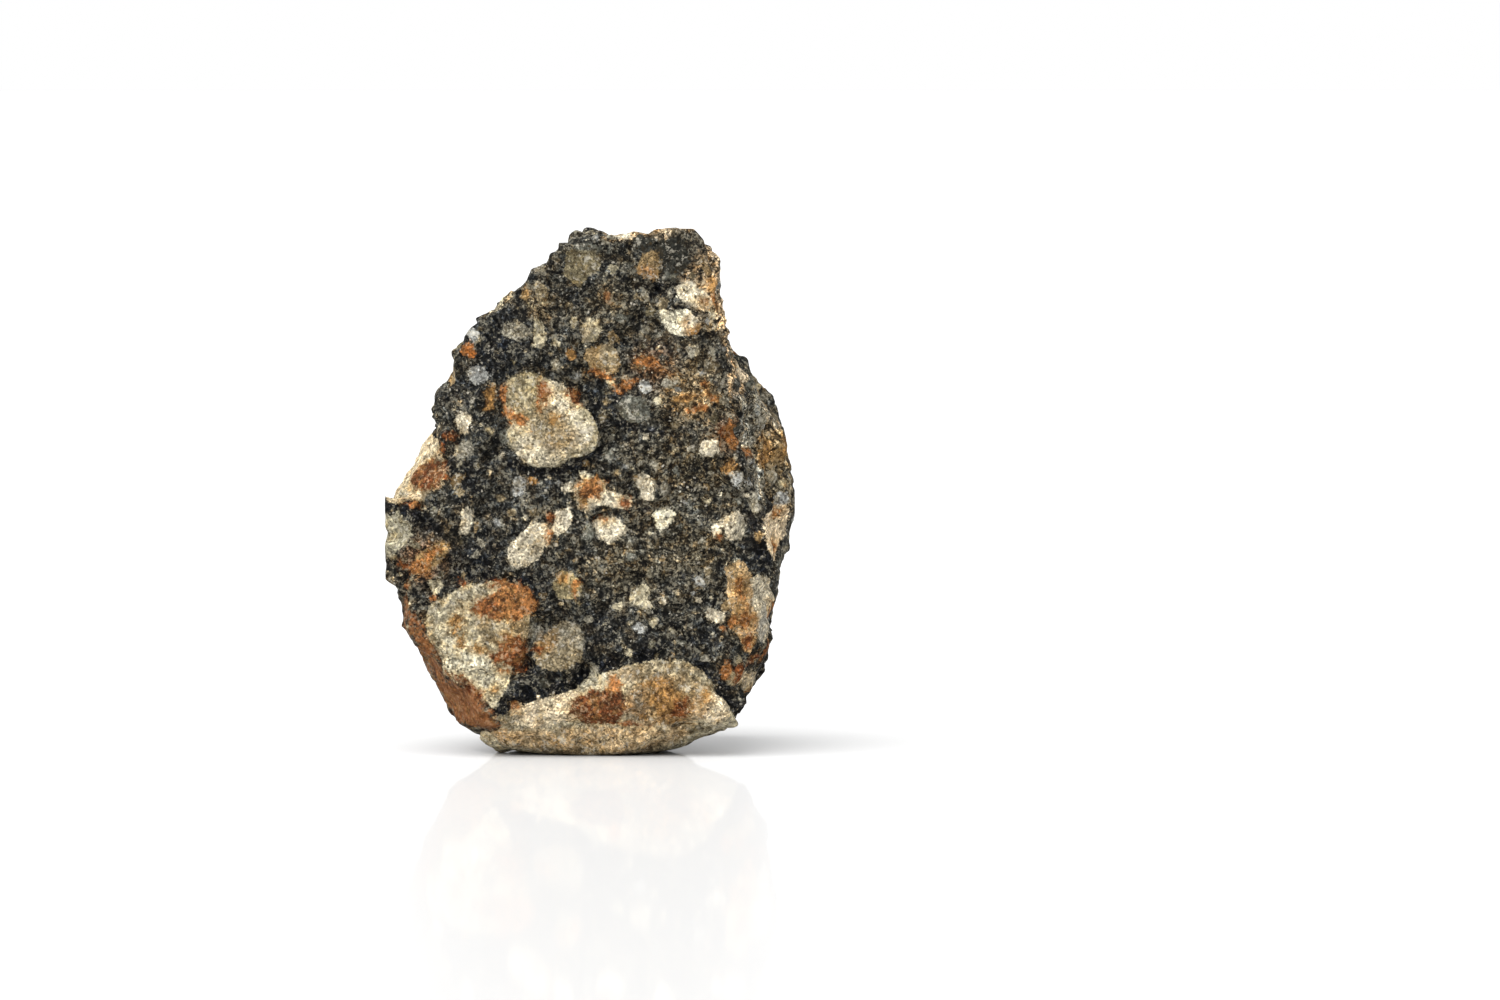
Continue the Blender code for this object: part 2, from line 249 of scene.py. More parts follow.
# Smaller front clasts: pixel of the middle, width and height in millimetres, tone, turn in degrees if any.
frontClasts = [
    (588, 248, 0.95, 0.4, "slate", 5), (606, 243, 0.27, 0.2, "ash"), (622, 235, 0.66, 0.24, "white", -12),
    (612, 233, 0.3, 0.26, "ash"), (642, 243, 0.88, 0.72, "dark"), (669, 277, 0.4, 0.34, "slate"),
    (662, 303, 0.36, 0.42, "dun"), (652, 313, 0.44, 0.4, "oliveTan"), (645, 298, 0.26, 0.28, "ash"),
    (620, 317, 0.56, 0.34, "slate"), (645, 331, 0.25, 0.25, "ash"), (614, 337, 0.28, 0.6, "tan", 30),
    (570, 353, 0.34, 0.46, "ochre", 25), (556, 343, 0.28, 0.26, "cream"), (555, 367, 0.28, 0.36, "ash"),
    (514, 331, 0.9, 0.68, "ash", -15), (541, 291, 0.44, 0.68, "dun"), (526, 293, 0.42, 0.48, "tan"),
    (531, 306, 0.3, 0.16, "cream", -30), (545, 303, 0.24, 0.18, "cream"),
    (474, 335, 0.44, 0.52, "mist", 20), (469, 350, 0.54, 0.52, "orange"),
    (478, 374, 0.66, 0.66, "mist", 10), (463, 421, 0.54, 0.8, "white", 5), (463, 450, 0.72, 0.64, "ash"),
    (505, 438, 0.42, 0.54, "slate"), (503, 454, 0.19, 0.17, "white"), (585, 475, 0.46, 0.4, "milk"),
    (516, 489, 0.44, 0.52, "mist", 20), (520, 481, 0.4, 0.4, "mist"), (532, 478, 0.32, 0.32, "ochre"),
    (500, 498, 0.34, 0.24, "dun"), (567, 489, 0.34, 0.32, "white"), (562, 520, 0.66, 1.1, "white", -22),
    (467, 520, 0.44, 0.9, "white", -12), (460, 492, 0.34, 0.34, "dun"), (432, 513, 0.34, 0.34, "slate"),
    (478, 527, 0.2, 0.34, "tan"), (510, 513, 0.34, 0.26, "dun"), (657, 403, 0.3, 0.28, "cream"),
    (692, 448, 0.34, 0.26, "ash"), (645, 438, 0.28, 0.2, "white"), (654, 463, 0.3, 0.4, "ash", 10),
    (607, 455, 0.4, 0.46, "slate"), (677, 470, 0.26, 0.34, "slate"), (646, 489, 0.52, 1.1, "white", 16),
    (636, 477, 0.26, 0.2, "tan"), (664, 518, 0.8, 0.76, "milk"), (735, 526, 0.66, 1.04, "white"),
    (718, 531, 0.56, 0.56, "white"), (754, 504, 0.36, 0.8, "ash"), (746, 496, 0.2, 0.18, "white"),
    (748, 482, 0.4, 0.16, "mist"), (709, 488, 0.24, 0.22, "tan"), (725, 403, 0.32, 0.26, "ash"),
    (694, 352, 0.42, 0.44, "ash", 20), (708, 322, 0.22, 0.22, "mist"), (735, 458, 0.15, 0.14, "white"),
    (436, 585, 0.58, 0.52, "cream"), (432, 556, 1.5, 0.7, "tan", 36), (395, 557, 0.3, 0.26, "cream"),
    (536, 635, 0.56, 0.4, "slate"), (663, 600, 0.25, 0.28, "white"), (680, 602, 0.28, 0.16, "ash"),
    (699, 602, 0.3, 0.28, "white"), (618, 608, 0.4, 0.32, "cream"), (707, 571, 0.3, 0.28, "dun"),
    (590, 620, 0.4, 0.26, "ash"), (653, 622, 0.42, 0.32, "cream"), (639, 629, 0.46, 0.32, "mist"),
    (673, 630, 0.2, 0.2, "cream"), (650, 646, 0.27, 0.26, "slate"), (682, 644, 0.46, 0.26, "slate"),
    (705, 657, 0.4, 0.26, "ash"), (628, 653, 0.24, 0.26, "cream"), (717, 616, 0.74, 0.44, "white", -28),
    (630, 558, 0.4, 0.32, "slate"), (516, 708, 0.44, 0.54, "tan"), (645, 386, 0.46, 0.4, "mist"),
    (668, 383, 0.54, 0.36, "ash"), (607, 372, 0.4, 0.2, "white", -10), (613, 383, 0.36, 0.36, "cream"),
    (777, 455, 0.4, 0.9, "tan"), (757, 419, 0.34, 0.5, "ash", 30), (780, 500, 0.46, 0.5, "mist"),
    (771, 478, 0.6, 0.46, "ash"), (785, 432, 0.44, 0.6, "dark", 20), (775, 590, 0.36, 0.6, "dark"),
    (760, 669, 0.46, 0.5, "dark"), (772, 640, 0.34, 0.8, "cream", -8), (760, 535, 0.34, 0.4, "tan"),
    (708, 267, 0.4, 0.6, "tan", 25), (713, 313, 0.36, 0.34, "cream"), (717, 262, 0.24, 0.8, "dark", -12),
    (725, 605, 0.34, 0.4, "tan"), (726, 400, 0.5, 0.34, "ash", 10), (505, 716, 0.4, 0.3, "dun"),
]

# Rust and ochre stains on the front, in the same way.
frontStains = [
    (544, 393, 0.4, 0.9, "rust", -6), (540, 408, 0.28, 0.4, "orange", -10),
    (573, 394, 0.34, 0.76, "rust", 32), (490, 398, 0.34, 0.78, "ochre"), (503, 392, 0.22, 0.54, "orange"),
    (514, 417, 0.95, 0.42, "orange", -38), (557, 420, 0.38, 0.26, "ochre"),
    (600, 375, 1.1, 0.24, "orange", -14), (625, 385, 0.82, 0.3, "orange", 24),
    (648, 362, 0.8, 0.34, "orange", -20), (656, 371, 0.9, 0.28, "russet", 5),
    (683, 398, 0.8, 0.26, "ochre", 8), (698, 409, 0.8, 0.24, "orange", 6),
    (708, 393, 0.22, 0.9, "orange", 30), (733, 433, 0.5, 0.78, "orange", 8),
    (745, 452, 0.42, 0.4, "orange"), (728, 468, 0.42, 0.46, "ochre"), (720, 430, 0.36, 0.5, "rust"),
    (424, 474, 1.5, 1.1, "umber", 10), (446, 476, 0.24, 0.22, "rust"), (447, 437, 0.44, 0.32, "rust", 12),
    (443, 448, 0.3, 0.36, "rust"), (592, 490, 1.0, 0.66, "orange", 32),
    (582, 503, 0.32, 0.46, "ochre", -10), (625, 503, 0.32, 0.46, "rust"), (605, 517, 0.52, 0.16, "orange"),
    (549, 518, 0.18, 0.46, "rust", 25), (548, 537, 0.16, 0.7, "orange", -6),
    (431, 556, 1.1, 0.36, "orange", 36), (419, 568, 0.9, 0.44, "orange", 10), (404, 566, 0.4, 0.3, "rust"),
    (577, 588, 0.28, 0.44, "orange"), (566, 578, 0.4, 0.3, "ochre"), (512, 601, 1.56, 1.15, "orange", -8),
    (489, 604, 1.1, 0.7, "rust", 14), (503, 585, 1.1, 0.26, "rust"), (518, 604, 0.44, 0.34, "umber"),
    (459, 619, 0.34, 0.8, "ochre", -12), (460, 639, 0.32, 0.6, "ochre", 14),
    (515, 652, 0.84, 1.1, "rust", 8), (497, 658, 0.5, 0.4, "rust", -30), (507, 669, 0.6, 0.28, "orange"),
    (479, 648, 0.46, 0.26, "ochre", -20), (494, 690, 0.26, 0.3, "ochre"),
    (471, 689, 1.5, 0.44, "umber", -36), (463, 583, 0.28, 0.26, "rust"), (438, 599, 0.24, 0.2, "orange"),
    (538, 650, 0.36, 0.38, "rust"), (600, 709, 1.7, 1.2, "umber"), (603, 712, 1.1, 0.7, "umber"),
    (614, 688, 0.5, 0.8, "orange", -24), (662, 704, 0.9, 1.1, "ochre"), (679, 708, 0.56, 0.8, "rust"),
    (655, 684, 1.1, 0.3, "ochre", -6), (634, 726, 0.9, 0.18, "rust", -6),
    (706, 697, 0.28, 0.7, "ochre", -10), (516, 706, 0.28, 0.3, "rust"), (724, 670, 0.4, 0.6, "orange"),
    (736, 672, 0.56, 0.8, "rust"), (748, 664, 0.9, 0.3, "umber", 40), (759, 651, 0.8, 0.26, "rust", 52),
    (766, 625, 0.26, 1.4, "orange", -8), (745, 695, 0.3, 0.5, "rust", 10),
    (741, 588, 0.3, 0.8, "orange", 8), (745, 618, 0.36, 0.9, "orange", 4), (745, 641, 0.4, 0.6, "rust"),
    (735, 622, 0.26, 0.5, "orange"), (725, 628, 0.26, 0.3, "orange"), (527, 292, 0.18, 0.2, "ochre"),
    (473, 351, 0.18, 0.18, "rust"), (610, 298, 0.24, 0.4, "russet"), (713, 286, 0.46, 0.6, "ochre"),
    (717, 298, 0.26, 0.7, "orange", 6), (705, 302, 0.34, 0.24, "russet"), (704, 250, 0.5, 0.7, "russet"),
    (406, 586, 0.18, 0.2, "rust"), (412, 504, 0.7, 0.16, "rust", -8), (718, 538, 0.4, 0.16, "rust"),
    (774, 513, 0.5, 0.3, "orange", -10), (779, 546, 0.34, 0.4, "orange"), (764, 452, 0.5, 1.1, "ochre"),
    (764, 381, 0.5, 0.3, "ochre", -30), (782, 448, 0.24, 0.6, "ochre"),
]

# Rust along the lower left flank: its outline in pixels.
rustFlank = [(402, 598), (407, 604), (420, 618), (431, 638), (438, 656), (447, 674), (460, 679), (476, 689),
             (490, 705), (500, 722), (502, 735), (488, 731), (470, 722), (452, 706), (438, 686), (428, 664),
             (416, 640), (405, 618), (401, 606)]

# Soft changes of tone, one of them painted shade along the bottom edge: the same, with the share of the new
# tone before the turn.
frontTints = [
    (522, 390, 1.5, 1.6, "putty", 0.9), (518, 402, 0.9, 0.7, "dun", 0.7),
    (559, 402, 0.9, 1.2, "white", 1.0), (533, 451, 1.4, 0.8, "white", 0.8),
    (580, 436, 0.5, 0.6, "white", 0.9), (548, 424, 1.0, 0.8, "dun", 0.9), (561, 441, 0.9, 0.8, "tan", 0.8),
    (540, 434, 0.5, 0.5, "dun", 0.6), (591, 424, 0.4, 1.3, "putty", 0.8, 25),
    (694, 326, 0.6, 0.7, "ochre", 1.0), (703, 303, 0.3, 0.3, "ochre", 0.7),
    (583, 333, 0.4, 0.5, "tan", 0.6), (610, 355, 0.4, 0.6, "cream", 0.6),
    (648, 274, 0.5, 0.3, "orange", 0.5), (408, 490, 1.0, 0.7, "greyGreen", 0.8, 30),
    (430, 490, 0.7, 0.6, "ash", 0.9), (436, 450, 0.4, 1.0, "cream", 0.8, -10),
    (437, 465, 0.44, 0.4, "white", 0.9), (462, 664, 1.6, 1.3, "milk", 0.9, -30),
    (502, 628, 1.5, 0.8, "tan", 0.8), (475, 600, 1.0, 0.7, "ash", 0.4), (446, 618, 1.1, 1.2, "ash", 0.4),
    (490, 645, 0.7, 0.5, "dun", 0.6), (574, 636, 0.9, 0.8, "ash", 0.9), (548, 640, 0.5, 0.6, "ochre", 0.5),
    (548, 711, 2.1, 1.0, "lobeCream", 0.8, 14), (598, 682, 0.8, 0.6, "milk", 1.0),
    (625, 675, 0.6, 0.5, "white", 0.8), (634, 712, 0.8, 0.8, "white", 0.8),
    (665, 672, 2.4, 0.6, "tan", 0.8), (668, 703, 2.2, 1.4, "ochre", 0.9),
    (690, 686, 0.9, 0.7, "oliveTan", 0.6), (638, 697, 0.22, 0.8, "dark", 0.9),
    (716, 708, 0.6, 0.9, "lobeCream", 0.8), (655, 702, 0.18, 0.9, "cream", 0.7, 8),
    (688, 692, 0.16, 0.8, "cream", 0.7, -8), (700, 706, 0.2, 0.8, "white", 0.7, -10),
    # the second entry on the next line is painted shade: a brown darkening along the belly's bottom edge,
    # where it meets the floor
    (610, 742, 8.6, 0.9, "underPale", 1.0), (600, 754, 7.4, 0.3, "brown", 0.8),
    (505, 716, 0.9, 0.6, "dun", 0.8), (757, 626, 0.36, 1.0, "mist", 0.7), (736, 572, 0.4, 0.5, "tan", 0.8),
    (740, 530, 0.4, 0.6, "ash", 0.7),
]

# Groundmass: warm places and blue-black ones. Pixel, reach in millimetres, tone, share.
groundPlaces = [
    (690, 470, 2.4, "brown", 0.8), (690, 550, 2.2, "brown", 0.7), (610, 305, 1.5, "brown", 0.5),
    (440, 540, 1.0, "brown", 0.5), (700, 370, 1.2, "brown", 0.6), (620, 580, 1.5, "brown", 0.6),
    (620, 560, 1.6, "brown", 0.6), (500, 345, 2.2, "jet", 1.0), (580, 292, 0.8, "jet", 0.8),
    (600, 400, 1.1, "jet", 0.8), (550, 478, 1.0, "jet", 0.8), (470, 480, 1.4, "jet", 0.6),
    (478, 563, 1.6, "jet", 1.0), (545, 590, 1.2, "jet", 0.8), (470, 395, 1.0, "jet", 0.8),
    (455, 470, 0.9, "jet", 0.6), (620, 405, 1.0, "jet", 0.9), (738, 548, 0.7, "jet", 0.6),
    (580, 670, 1.2, "jet", 0.9), (525, 685, 1.0, "jet", 1.0), (640, 650, 1.0, "jet", 0.8),
    (600, 625, 1.1, "jet", 0.7), (690, 640, 1.2, "jet", 0.8), (716, 685, 1.0, "jet", 0.8),
    (690, 505, 0.8, "slate", 0.4), (545, 310, 0.6, "tan", 0.5), (700, 240, 0.8, "dun", 0.7),
    # the two rimTan places on the next line are partly painted highlight along the lit top right rim
    (712, 275, 1.2, "rimTan", 1.0), (716, 300, 1.0, "rimTan", 1.0), (718, 325, 0.7, "dun", 0.7),
    (728, 405, 0.6, "dun", 0.6), (690, 396, 1.3, "tan", 0.6), (655, 366, 1.0, "russet", 0.5),
    (730, 435, 0.8, "russet", 0.6), (425, 560, 1.0, "russet", 0.7), (765, 410, 1.6, "ash", 0.9),
    (775, 440, 1.4, "tan", 0.8), (778, 480, 1.5, "dun", 0.9), (762, 475, 0.9, "dun", 0.7),
    (759, 560, 0.7, "jet", 0.9), (438, 400, 0.8, "jet", 0.7),
]

# Dark seams between clasts, and painted shadow lines under ledges and raised clasts: pixels of the line,
# half width in millimetres.
seamAndShadowLines = [
    ([(500, 712), (530, 690), (580, 680), (612, 664), (655, 655)], 0.28),
    ([(510, 463), (535, 473), (560, 470), (590, 460), (605, 448)], 0.16),
    ([(702, 666), (712, 688), (728, 703), (736, 718)], 0.22),
    ([(385, 500), (400, 508), (420, 512), (436, 508)], 0.14),
    ([(408, 512), (424, 522), (440, 532)], 0.16),
    ([(748, 514), (756, 530), (762, 552), (764, 566)], 0.24),
    ([(526, 655), (530, 666)], 0.3),
    ([(620, 426), (640, 430), (662, 434)], 0.12),
    ([(470, 574), (500, 578), (530, 582)], 0.14),
    ([(660, 287), (655, 286)], 0.14),
]

# Lit edges of the front face: pixels of the line, half width in millimetres, tone, share.
litEdges = [
    ([(708, 244), (716, 262), (720, 290), (722, 312), (725, 332), (729, 352), (733, 372), (735, 392)],
     0.14, "rimTan", 0.9),
    ([(737, 400), (743, 425), (749, 450), (756, 472), (761, 495)], 0.11, "ash", 0.9),
    ([(606, 234), (640, 237), (665, 232), (690, 229)], 0.12, "rimTan", 0.7),
    ([(446, 350), (480, 318), (510, 292)], 0.1, "dun", 0.5),
]

# Small hollows, carved and darkened with painted shade: pixel, radius in millimetres.
frontHollows = [
    (648, 447, 0.11), (693, 502, 0.1), (719, 492, 0.09), (703, 554, 0.13), (665, 533, 0.09),
    (585, 475, 0.07), (665, 517, 0.12), (735, 532, 0.08), (659, 287, 0.16), (527, 660, 0.2),
    (688, 290, 0.09), (696, 298, 0.08), (558, 717, 0.08), (762, 607, 0.07), (518, 603, 0.08),
    (577, 355, 0.12), (610, 422, 0.1), (440, 400, 0.12), (628, 384, 0.09), (437, 587, 0.08),
]

# Ledges of the broken face: pixels of the edge, rise below the line in millimetres, reach in millimetres.
frontLedges = [
    ([(583, 370), (605, 377), (630, 384), (655, 389)], 0.1, 1.4),
    ([(676, 373), (696, 380), (708, 391), (714, 408)], 0.12, 1.5),
    ([(384, 500), (400, 508), (418, 511), (440, 508)], 0.16, 1.0),
    ([(533, 312), (560, 335), (580, 352)], 0.1, 1.2),
    ([(598, 331), (607, 339), (622, 336)], 0.08, 0.8),
]

# Lumps that stand out along the outline: pixel, radius and height in millimetres.
frontLumps = [
    (441, 388, 0.4, 0.26), (425, 411, 0.45, -0.34), (593, 235, 0.34, 0.08), (688, 232, 0.6, 0.06),
    (556, 249, 0.8, 0.2), (540, 263, 0.6, 0.24), (601, 234, 0.6, 0.14), (462, 343, 1.0, 0.18),
    (500, 296, 0.7, -0.12), (450, 357, 0.4, -0.1), (412, 458, 1.2, -0.16), (397, 598, 0.5, -0.22),
    (387, 578, 0.4, -0.12), (404, 622, 0.7, 0.1), (436, 694, 0.8, 0.08), (456, 712, 1.2, 0.12),
    (474, 734, 0.7, 0.62), (722, 733, 0.6, 0.3), (790, 545, 0.9, -0.32), (771, 636, 1.1, 0.18),
    (770, 652, 0.5, 0.04), (760, 684, 0.7, -0.1), (788, 440, 0.8, 0.24), (793, 515, 0.7, 0.1),
    (778, 396, 0.5, -0.12), (736, 714, 0.6, 0.06), (706, 244, 0.5, 0.1), (725, 304, 0.8, -0.12),
    (754, 372, 0.6, 0.2), (385, 502, 0.36, 0.24), (384, 536, 0.6, 0.14),
]

# Edges that wear has rounded: pixels of the line, depth and reach in millimetres.
wornEdges = [
    ([(474, 728), (520, 728), (600, 728), (680, 728), (716, 728)], 0.16, 0.34),
    ([(500, 745), (560, 745), (640, 743)], -0.08, 0.3),
]

# Clasts on the sides and the back, which the photograph hides: the same kinds and sizes.
hiddenClasts = {
    "seed": 11,
    "large": {"count": 9, "size": (2.0, 3.8), "spacing": 3.4},
    "middle": {"count": 70, "size": (0.7, 1.5), "spacing": 1.4},
    "small": {"count": 240, "size": (0.25, 0.65), "spacing": 0.6},
    "fineness": 1.6,
    "stretch": 0.6,
    "brightness": (0.75, 0.35, 1.0),   # least, span, and how seldom the bright ones are
    "tones": ["cream", "cream", "white", "tan", "dun", "oliveTan", "ash", "slate", "greyGreen",
              "dark", "putty", "mist"],
    "stains": {"count": 60, "size": (0.3, 1.8), "tones": ["rust", "orange", "ochre", "rust", "umber"]},
}

# Little clasts between the placed ones on the front.
fillClasts = {
    "seed": 5,
    "count": 520,
    "size": (0.13, 0.42),
    "gap": 0.04,
    "fineness": 2.2,
    "stretch": 0.7,
    "brightness": (0.45, 0.75, 1.4),
    "tones": ["cream", "ash", "tan", "slate", "dun", "slate", "mist", "oliveTan", "dun"],
}


# How the shapes above are drawn on the skin, in millimetres.
drawing = {
    "wobbleLength": 0.6,   # waves that break up the drawn outlines
    "outlineWobble": 0.11,
    "grainWobble": 0.1,
    "grainDepth": 0.35,     # a grain reaches at least this far into the stone
    "stainGrowth": 1.12,
    "tintGrowth": 1.2,
    "lineReach": 3.5,       # how far behind the front face a drawn line still counts
}


def flatAxes(normal, turn):
    # two directions in the skin and the one out of it, turned by an angle
    out = Vector(normal).normalized()
    upward = Vector((0.0, 0.0, 1.0)) if abs(out.z) < 0.9 else Vector((0.0, 1.0, 0.0))
    right = upward.cross(out).normalized()
    up = out.cross(right)
    angle = math.radians(turn)
    across = right * math.cos(angle) + up * math.sin(angle)
    along = up * math.cos(angle) - right * math.sin(angle)
    return np.array(across), np.array(along), np.array(out)


def fragmentEdge(points, middle, width, height, turn=0, normal=(0, -1, 0), corners=5, cut=0.74, seed=0):
    # distance in millimetres to the skin of a broken grain, positive inside it
    across, along, out = flatAxes(normal, turn)
    away = points - middle
    u, v, w = away @ across, away @ along, away @ out
    deep = max(0.5 * min(width, height), drawing["grainDepth"])
    size = min(width, height) / 2
    reach = np.sqrt((u / (width / 2)) ** 2 + (v / (height / 2)) ** 2 + (w / deep) ** 2)
    edge = (1.06 - reach) * size
    chance = np.random.default_rng(seed)
    for step in range(corners):
        angle = (step + chance.random()) * 2 * math.pi / corners
        limit = math.hypot(width / 2 * math.cos(angle), height / 2 * math.sin(angle))
        limit *= cut + 0.24 * chance.random()
        edge = np.minimum(edge, limit - u * math.cos(angle) - v * math.sin(angle))
    return edge


def lineGaps(marks, view, line, closed=False):
    # distance in millimetres to a line drawn on the picture, and to which side of it a point lies
    pixelsX, pixelsY = marks[view + "X"], marks[view + "Y"]
    corners = np.array(line, float)
    ends = np.roll(corners, -1, axis=0)
    nearest = np.full(len(pixelsX), 1e9)
    side = np.zeros(len(pixelsX))
    for first, second in zip(corners if closed else corners[:-1], ends):
        run = second - first
        awayX, awayY = pixelsX - first[0], pixelsY - first[1]
        share = np.clip((awayX * run[0] + awayY * run[1]) / (run @ run), 0.0, 1.0)
        gap = np.hypot(awayX - share * run[0], awayY - share * run[1])
        closer = gap < nearest
        side[closer] = np.sign(run[0] * awayY - run[1] * awayX)[closer]
        nearest = np.minimum(nearest, gap)
    return nearest / pixelsPerMm, side


def outlineEdge(marks, outline):
    # distance in millimetres to an outline drawn on the picture, positive inside it
    pixelsX, pixelsY = marks["warpX"], marks["warpY"]
    gaps = lineGaps(marks, "warp", outline, closed=True)[0]
    inside = np.zeros(len(pixelsX), bool)
    corners = np.array(outline, float)
    for first, second in zip(corners, np.roll(corners, -1, axis=0)):
        crosses = (first[1] > pixelsY) != (second[1] > pixelsY)
        run = second - first
        level = first[0] + run[0] * (pixelsY - first[1]) / (run[1] if run[1] else 1e-9)
        inside ^= crosses & (pixelsX < level)
    return np.where(inside, gaps, -gaps)


def startMarks(points, normals):
    # what each point of the skin is made of: edges in millimetres, tones as linear colours
    starts = ((4, 1, 7), (9, 5, 2), (1, 8, 6))
    wobble = np.stack([wave(points, drawing["wobbleLength"], start) for start in starts], axis=1)
    warpX, warpY, behind = toPixels(points + wobble * drawing["outlineWobble"])
    seenX, seenY, behind = toPixels(points)
    count = len(points)
    return {
        "points": points, "normals": normals, "warped": points + wobble * drawing["grainWobble"],
        "seenX": seenX, "seenY": seenY, "warpX": warpX, "warpY": warpY, "behind": behind,
        "clastEdge": np.full(count, -5.0), "clastTone": np.tile(linear(tones["cream"]), (count, 1)),
        "stainEdge": np.full(count, -5.0), "stainTone": np.tile(linear(tones["rust"]), (count, 1)),
        "groundTone": np.tile(linear(tones["ground"]), (count, 1)),
        "rise": np.zeros(count), "calm": np.zeros(count),
    }


def pointAt(marks, x, y):
    # the skin point seen at a pixel: the nearest to the lens among those close to the pixel
    gap = np.hypot(marks["seenX"] - x, marks["seenY"] - y)
    cost = np.where(marks["normals"][:, 1] < 0.15, gap + np.clip(marks["behind"], 0, 9) * 1.2, 1e9)
    return int(np.argmin(cost))


def spotAt(marks, x, y):
    return marks["points"][pointAt(marks, x, y)]


def edgeAt(marks, x, y, width, height, *turn, **form):
    return fragmentEdge(marks["warped"], spotAt(marks, x, y), width, height, *turn, **form)


def lay(marks, layer, edge, tone, vary=1.0):
    # the deeper inside a shape, the more its tone counts
    closer = edge > marks[layer + "Edge"]
    marks[layer + "Tone"][closer] = linear(tones[tone]) * vary
    marks[layer + "Edge"] = np.maximum(marks[layer + "Edge"], edge)


def tint(marks, layer, tone, share):
    marks[layer + "Tone"] += (linear(tones[tone]) - marks[layer + "Tone"]) * share[:, None]


def placeOutlined(marks):
    for tone, depth, rise, outline in outlinedClasts.values():
        edge = outlineEdge(marks, outline)
        middle = pointAt(marks, *np.mean(outline, axis=0))
        deeper = marks["behind"] - marks["behind"][middle]
        edge = np.minimum(edge, depth - deeper) - 0.5 * np.clip(deeper / depth, 0.0, 1.5) ** 2
        lay(marks, "clast", edge, tone)
        marks["rise"] += rise * fade(edge, -0.04, 0.1)


def placeFront(marks):
    for row, (x, y, width, height, tone, *turn) in enumerate(frontClasts):
        lay(marks, "clast", edgeAt(marks, x, y, width, height, *turn, seed=row), tone)
    grown = drawing["stainGrowth"]
    for row, (x, y, width, height, tone, *turn) in enumerate(frontStains):
        edge = edgeAt(marks, x, y, width * grown, height * grown, *turn, cut=0.88, seed=row)
        lay(marks, "stain", edge, tone)
    edge = np.minimum(outlineEdge(marks, rustFlank), 6.0 - marks["behind"])
    closer = edge > marks["stainEdge"]
    lay(marks, "stain", edge * 0.6, "flankRust")
    marks["calm"] = np.where(closer, 0.75 * fade(edge, -0.3, 0.1), 0.0)


def tintFront(marks):
    inReach = marks["behind"] < drawing["lineReach"]
    for x, y, reach, tone, share in groundPlaces:
        away = np.linalg.norm(marks["warped"] - spotAt(marks, x, y), axis=1)
        tint(marks, "ground", tone, share * np.exp(-((away / (reach * 0.6)) ** 2)))
    # seam lines darken the ground: real dark joints, and painted shadow under ledges and raised clasts
    for line, halfWidth in seamAndShadowLines:
        gap = lineGaps(marks, "warp", line)[0]
        tint(marks, "ground", "seamAndShade", 0.85 * (1.0 - fade(gap, halfWidth * 0.6, halfWidth * 1.5)) * inReach)
    # painted shade inside the hollows: every layer darkens towards the darkest tone
    for x, y, radius in frontHollows:
        away = np.linalg.norm(marks["points"] - spotAt(marks, x, y), axis=1)
        for layer in ("ground", "clast", "stain"):
            tint(marks, layer, "seamAndShade", 0.95 * (1.0 - fade(away, radius * 0.5, radius * 1.1)))
    for line, halfWidth, tone, share in litEdges:
        gap = lineGaps(marks, "warp", line)[0]
        near = (1.0 - fade(gap, halfWidth * 0.6, halfWidth * 1.8)) * (marks["behind"] < 4.0)
        tint(marks, "ground", tone, share * near)
    patchy = 0.8 + 0.7 * wave(marks["points"], 0.3, (3.0, 3.0, 8.0))
    grown = drawing["tintGrowth"]
    for x, y, width, height, tone, share, *turn in frontTints:
        edge = edgeAt(marks, x, y, width * grown, height * grown, *turn, corners=0)
        tint(marks, "clast", tone, np.clip(share * patchy, 0.0, 1.0) * fade(edge, -0.16, 0.12))


def drawGrain(chance, places, rule):
    # a clast at a random place: size, stretch, turn, tone and brightness, drawn in this order
    place = places[chance.integers(len(places))]
    low, high = rule["size"]
    size = low + (high - low) * chance.random() ** rule["fineness"]
    stretch = 1.0 + rule["stretch"] * chance.random()
    turn = chance.random() * 180
    tone = rule["tones"][chance.integers(len(rule["tones"]))]
    darkest, span, power = rule["brightness"]
    return place, size, stretch, turn, tone, darkest + span * chance.random() ** power


def fillFront(marks):
    chance = np.random.default_rng(fillClasts["seed"])
    facing = np.flatnonzero(marks["normals"][:, 1] < -0.1)
    for step in range(fillClasts["count"]):
        place, size, stretch, turn, tone, vary = drawGrain(chance, facing, fillClasts)
        if marks["clastEdge"][place] < -fillClasts["gap"] - size / 2:
            middle = marks["points"][place]
            edge = fragmentEdge(marks["warped"], middle, size * stretch, size, turn, seed=step)
            lay(marks, "clast", edge, tone, vary)


